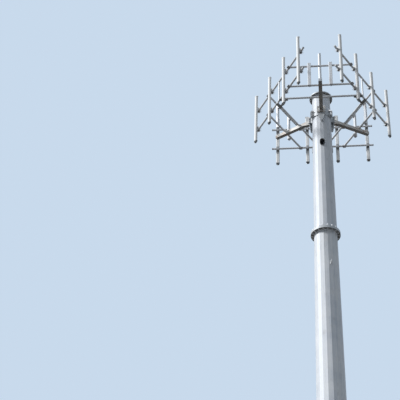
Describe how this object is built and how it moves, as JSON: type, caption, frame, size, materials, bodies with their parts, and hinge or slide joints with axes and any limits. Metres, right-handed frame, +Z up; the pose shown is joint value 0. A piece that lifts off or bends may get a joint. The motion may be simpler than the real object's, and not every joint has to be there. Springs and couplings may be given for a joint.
{
  "type": "monopole cell tower",
  "caption": "Tapered many-sided steel monopole with bolted ring flanges and a three-sided antenna head of pipe rails, arms, ties and slim panel antennas.",
  "frame": {"origin": "on the axis of the pole, on the underside of the base flange", "axes": "+Z up along the pole, -Y towards the near corner of the antenna head, +X to its right"},
  "size_m": [5.0044, 4.4323, 31.73],
  "materials": {
    "shaft": "hot-dip galvanised plate, weathered to a dull pale grey",
    "galvanised": "hot-dip galvanised flanges and plates",
    "arm": "galvanised square tube",
    "pipe": "galvanised round pipe",
    "clamp": "galvanised clamps, dull grey",
    "foot": "dark grey end caps and cable sockets",
    "radome": "moulded off-white antenna housing"
  },
  "bodies": {
    "root": {"base_plate": "galvanised", "base_gussets": "galvanised", "lower_shaft_front": "shaft", "lower_shaft_back": "shaft", "base_port_rim": "galvanised", "lower_splice_bottom_ring": "galvanised", "lower_splice_top_ring": "galvanised", "middle_shaft_front": "shaft", "middle_shaft_back": "shaft", "upper_splice_bottom_ring": "galvanised", "upper_splice_top_ring": "galvanised", "upper_shaft_front": "shaft", "upper_shaft_back": "shaft", "exit_port_rims": "galvanised", "hoist_lug": "galvanised", "top_ring": "galvanised", "top_plate": "galvanised", "top_mast": "pipe", "mast_foot": "galvanised", "near_collar": "galvanised", "near_arm": "arm", "near_inner_tie": "pipe", "near_outer_ties": "pipe", "near_corner_posts": "arm", "right_collar": "galvanised", "right_arm": "arm", "right_inner_tie": "pipe", "right_outer_ties": "pipe", "right_corner_posts": "arm", "left_collar": "galvanised", "left_arm": "arm", "left_inner_tie": "pipe", "left_outer_ties": "pipe", "left_corner_posts": "arm", "back_rails": "pipe", "back_mid_post": "pipe", "back_mid_bracket": "galvanised", "back_tie_sleeves": "clamp", "back_antenna_clamps": "clamp", "back_antennas": "radome", "back_antenna_feet": "foot", "left_rails": "pipe", "left_mid_post": "pipe", "left_mid_bracket": "galvanised", "left_tie_sleeves": "clamp", "left_antenna_clamps": "clamp", "left_antennas": "radome", "left_antenna_feet": "foot", "right_rails": "pipe", "right_mid_post": "pipe", "right_mid_bracket": "galvanised", "right_tie_sleeves": "clamp", "right_antenna_clamps": "clamp", "right_antennas": "radome", "right_antenna_feet": "foot"}
  },
  "joints": []
}
